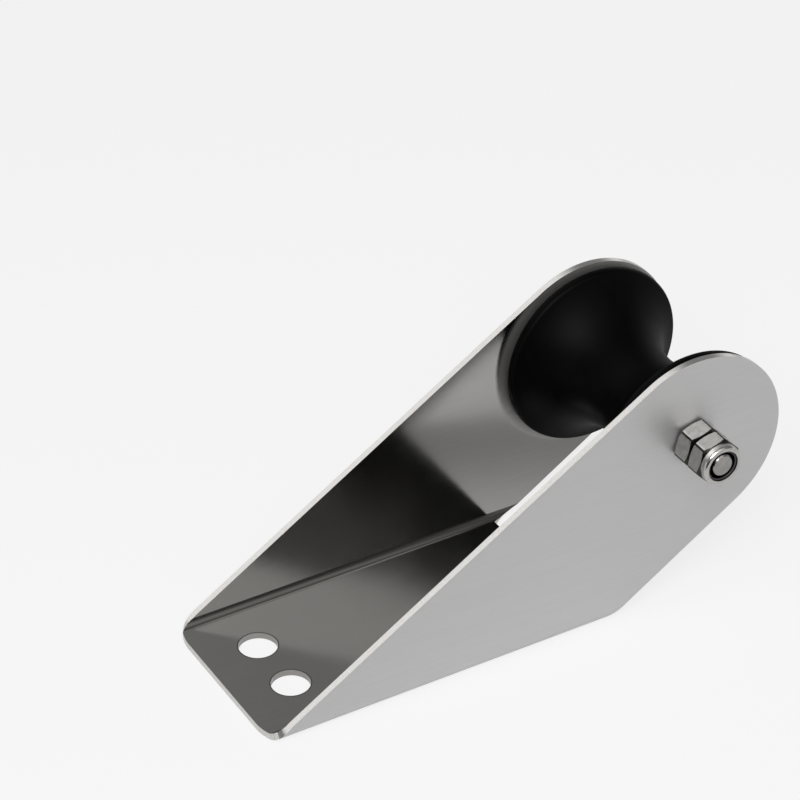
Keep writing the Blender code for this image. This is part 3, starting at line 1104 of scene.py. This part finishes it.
@dataclass
class NylonRing:
    """Ring of nylon under the lock nut's lip, with a collar that the thread has pushed out."""

    stack: AxleStack
    inner: float
    outer: float
    radius: float
    mouth: float
    below_mouth: float = 0.00045
    collar_radius: float = 0.00475
    edge_round: float = 0.00018
    turn_steps: int = 96

    @classmethod
    def from_frame(cls, stack: AxleStack) -> "NylonRing":
        """Take the ring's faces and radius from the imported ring, and the mouth from the nut."""
        low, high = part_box("lock_nut_insert")
        return cls(stack=stack, inner=high.y, outer=low.y, radius=(high.x - low.x) / 2,
                   mouth=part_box("lock_nut")[0].y)

    def build(self, nylon: bpy.types.Material) -> bpy.types.Object:
        """Build the ring.

        Args:
            nylon: Its material.

        Returns:
            The finished piece.
        """
        bm = bmesh.new()
        axle = Vector((self.stack.x, 0.0, self.stack.z))
        bore, crown = self.stack.passage, self.mouth + self.below_mouth
        section = [bm.verts.new(axle + Vector((size, level, 0.0))) for size, level in
                   ((bore, self.inner), (self.radius, self.inner), (self.radius, self.outer),
                    (self.collar_radius, self.outer), (self.collar_radius, crown), (bore, crown))]
        bm.faces.new(section)
        bmesh.ops.bevel(bm, geom=section, offset=self.edge_round, offset_type="OFFSET", segments=4,
                        profile=0.5, affect="VERTICES", material=-1)
        bmesh.ops.delete(bm, geom=bm.faces[:], context="FACES_ONLY")
        revolve(bm, axle, self.turn_steps)
        return make_piece("nylon_ring", bm, (nylon,), Body.BRACKET, "lock_nut_insert", 50.0)


@dataclass
class Studio:
    """Pale floor, soft light and the camera at the photograph's viewing angle."""

    eye: Vector = Vector((-0.3601, -0.6876, 0.6351))
    looking: Vector = Vector((0.4137, 0.7081, -0.5723))
    focal_pixels: float = 3491.3
    sensor: float = 36.0
    floor_side: float = 12.0
    floor_drop: float = 0.0003
    floor_seen: float = 0.8      # share of the floor's own white that the camera sees
    floor_mirrored: float = 0.17     # and that the metal mirrors
    fill: float = 0.42
    middle: Vector = Vector((0.06, 0.0, 0.03))
    lamp_offset: Vector = Vector((-0.4, -0.6, 0.8))
    lamp_side: float = 0.6
    lamp_watts: float = 8.4
    panels: tuple[tuple[Vector, float, float], ...] = (
        (Vector((-0.34, 0.71, 0.62)), 14.0, 42.0),
        (Vector((0.0, -0.6, 0.8)), 12.0, 42.0),
    )
    flag_place: Vector = Vector((0.005, -0.16, 0.05))
    flag_target: Vector = Vector((0.118, -0.035, 0.05))
    flag_width: float = 0.18
    flag_height: float = 0.1

    def camera(self) -> None:
        """Place the camera and make it the scene's."""
        data = bpy.data.cameras.new("camera")
        data.sensor_width = self.sensor
        data.lens = self.focal_pixels * data.sensor_width / PHOTO_SIDE
        data.clip_start = 0.01
        data.clip_end = 100.0
        obj = bpy.data.objects.new("camera", data)
        obj.matrix_world = (Matrix.Translation(self.eye)
                            @ self.looking.to_track_quat("-Z", "Y").to_matrix().to_4x4())
        bpy.context.scene.collection.objects.link(obj)
        bpy.context.scene.camera = obj

    def card(self, name: str, place: Matrix, material: bpy.types.Material) -> bpy.types.Object:
        """Stand a flat square of the studio.

        Args:
            name: Name of the square.
            place: Where a unit square in the XY plane goes.
            material: Its material.

        Returns:
            The object.
        """
        bm = bmesh.new()
        bmesh.ops.create_grid(bm, x_segments=1, y_segments=1, size=0.5, matrix=place)
        mesh = bpy.data.meshes.new(name)
        bm.to_mesh(mesh)
        bm.free()
        mesh.materials.append(material)
        obj = bpy.data.objects.new(name, mesh)
        bpy.context.scene.collection.objects.link(obj)
        return obj

    def floor(self) -> None:
        """Lay the floor: nearly white by itself, and a little darker in the shadow."""
        material, tree, output = new_material("matt_white_floor")
        paths = add_node(tree, "ShaderNodeLightPath")
        matt = add_node(tree, "ShaderNodeBsdfDiffuse", values={"Color": linear("#dddddd")})
        glow = add_node(tree, "ShaderNodeEmission", values={"Color": linear("#fefefe"), "Strength": 1.0})
        straight = add_node(tree, "ShaderNodeMath", {"operation": "MAXIMUM"},
                            links={0: paths.outputs["Is Camera Ray"],
                                   1: paths.outputs["Is Transmission Ray"]})
        direct = add_node(tree, "ShaderNodeMath", {"operation": "MULTIPLY"}, {1: self.floor_seen},
                          {0: straight.outputs[0]})
        share = add_node(tree, "ShaderNodeMath", {"operation": "MULTIPLY_ADD"}, {1: self.floor_mirrored},
                         {0: paths.outputs["Is Glossy Ray"], 2: direct.outputs[0]})
        mixed = add_node(tree, "ShaderNodeMixShader",
                         links={0: share.outputs[0], 1: matt.outputs[0], 2: glow.outputs[0]})
        tree.links.new(mixed.outputs[0], output.inputs["Surface"])
        side = self.floor_side
        self.card("floor", Matrix.Translation((0.0, 0.0, -self.floor_drop))
                  @ Matrix.Diagonal((side, side, 1.0, 1.0)), material)

    def panel(self, tree: bpy.types.NodeTree, direction: bpy.types.NodeSocket, centre: Vector,
              inner: float, outer: float) -> bpy.types.NodeSocket:
        """Measure how far a direction is inside a round soft panel of the studio.

        Args:
            tree: Node tree of the world.
            direction: Output that gives the direction.
            centre: Direction of the panel's middle.
            inner: Angle in degrees up to which the panel is full.
            outer: Angle in degrees at which it ends.

        Returns:
            The output, 1 inside the panel and 0 outside.
        """
        facing = add_node(tree, "ShaderNodeVectorMath", {"operation": "DOT_PRODUCT"},
                          {1: centre.normalized()}, {0: direction})
        edges = {"From Min": math.cos(math.radians(outer)), "From Max": math.cos(math.radians(inner))}
        fade = add_node(tree, "ShaderNodeMapRange", {"interpolation_type": "SMOOTHSTEP"}, edges,
                        {"Value": facing.outputs["Value"]})
        return fade.outputs[0]

    def world(self) -> None:
        """Light evenly from all round, and show a pale horizon, a greyer ceiling and two panels."""
        world = bpy.data.worlds.new("studio")
        world.use_nodes = True
        tree = world.node_tree
        tree.nodes.clear()
        output = add_node(tree, "ShaderNodeOutputWorld")
        place = add_node(tree, "ShaderNodeTexCoord")
        direction = place.outputs["Generated"]
        split = add_node(tree, "ShaderNodeSeparateXYZ", links={0: direction})
        ceiling = add_node(tree, "ShaderNodeValToRGB", links={"Fac": split.outputs["Z"]})
        set_ramp(ceiling, [(0.0, linear("#f6f6f6")), (0.12, linear("#e8e8e8")),
                           (0.32, linear("#828282")), (1.0, linear("#828282"))])
        colour = ceiling.outputs[0]
        for centre, inner, outer in self.panels:
            inside = self.panel(tree, direction, centre, inner, outer)
            blend = add_node(tree, "ShaderNodeMix", {"data_type": "RGBA"}, {7: linear("#ffffff")},
                             {0: inside, 6: colour})
            colour = blend.outputs[2]
        seen = add_node(tree, "ShaderNodeBackground", values={"Strength": 1.0},
                        links={"Color": colour})
        fill = add_node(tree, "ShaderNodeBackground",
                        values={"Color": linear("#f4f4f4"), "Strength": self.fill})
        paths = add_node(tree, "ShaderNodeLightPath")
        looks = paths.outputs["Is Camera Ray"]
        for kind in ("Is Glossy Ray", "Is Transmission Ray"):
            either = add_node(tree, "ShaderNodeMath", {"operation": "MAXIMUM"},
                              links={0: looks, 1: paths.outputs[kind]})
            looks = either.outputs[0]
        mixed = add_node(tree, "ShaderNodeMixShader",
                         links={0: looks, 1: fill.outputs[0], 2: seen.outputs[0]})
        tree.links.new(mixed.outputs[0], output.inputs["Surface"])
        bpy.context.scene.world = world

    def lamp(self) -> None:
        """Hang the one soft lamp in front on the left, above the camera."""
        data = bpy.data.lights.new("key", "AREA")
        data.shape = "SQUARE"
        data.size = self.lamp_side
        data.energy = self.lamp_watts
        obj = bpy.data.objects.new("key", data)
        obj.matrix_world = (Matrix.Translation(self.middle + self.lamp_offset)
                            @ (-self.lamp_offset).to_track_quat("-Z", "Y").to_matrix().to_4x4())
        bpy.context.scene.collection.objects.link(obj)

    def flag(self) -> None:
        """Stand a dark card that only reflections show, to shade the left of each nut."""
        material, tree, output = new_material("black_felt_flag")
        weave = add_node(tree, "ShaderNodeTexNoise", values={"Scale": 400.0})
        tint = add_node(tree, "ShaderNodeValToRGB", links={"Fac": weave.outputs["Fac"]})
        set_ramp(tint, [(0.3, linear("#1c1c1c")), (0.7, linear("#262626"))])
        felt = add_node(tree, "ShaderNodeBsdfDiffuse", links={"Color": tint.outputs[0]})
        tree.links.new(felt.outputs[0], output.inputs["Surface"])
        facing = (self.flag_target - self.flag_place).to_track_quat("Z", "Y").to_matrix().to_4x4()
        obj = self.card("flag", Matrix.Translation(self.flag_place) @ facing
                        @ Matrix.Diagonal((self.flag_width, self.flag_height, 1.0, 1.0)), material)
        obj.visible_camera = False
        obj.visible_diffuse = False
        obj.visible_shadow = False

    def build(self) -> None:
        """Set up floor, world, camera, lamp and flag, and the plain view transform."""
        self.floor()
        self.world()
        self.camera()
        self.lamp()
        self.flag()
        bpy.context.scene.view_settings.view_transform = "Standard"


def main() -> None:
    """Build every piece in order, then the studio."""
    logging.basicConfig(level=logging.INFO, format="%(message)s")
    LOG.info("the frame has %d nodes", len(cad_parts))
    satin = SheetSteel("belt_polished_stainless_sheet", "#d3d3d3", "#cfcfcf", (0.52, 0.55)).material()
    # The inside is glossier than the outside, and its darker colour is painted shade inside the channel.
    glossy_shaded_inside = InsideSheetSteel("mill_gloss_painted_shade_sheet", "#b9b8b6", "#b3b2b0", (0.12, 0.16)).material()
    edge = CutSheetEdge().material()
    bright = TumbledStainless().material()
    # Darker steel on the nuts' chamfers and corners: painted shade.
    painted_shade_steel = TumbledStainless("painted_shade_stainless_chamfer", "#4a4845", "#2e2d2b").material()
    # The bolt's steel is a darker copy of the nuts' steel: painted shade.
    rolled = TumbledStainless("painted_shade_stainless_bolt", "#aba9a6", "#9c9a97").material()
    nylon = TurnedNylon().material()
    ring_nylon = MouldedNylonRing().material()
    stack = AxleStack()
    shape = HexagonShape()
    ChannelBracket().build(satin, glossy_shaded_inside, edge)
    GroovedRoller.from_frame().build(nylon)
    AxleBolt.from_frame(stack, shape).build(rolled)
    PlainNut.from_frame(stack, shape).build(bright, painted_shade_steel)
    LockNut.from_frame(stack, shape).build(bright, painted_shade_steel)
    NylonRing.from_frame(stack).build(ring_nylon)
    Studio().build()


if __name__ == "__main__":
    main()
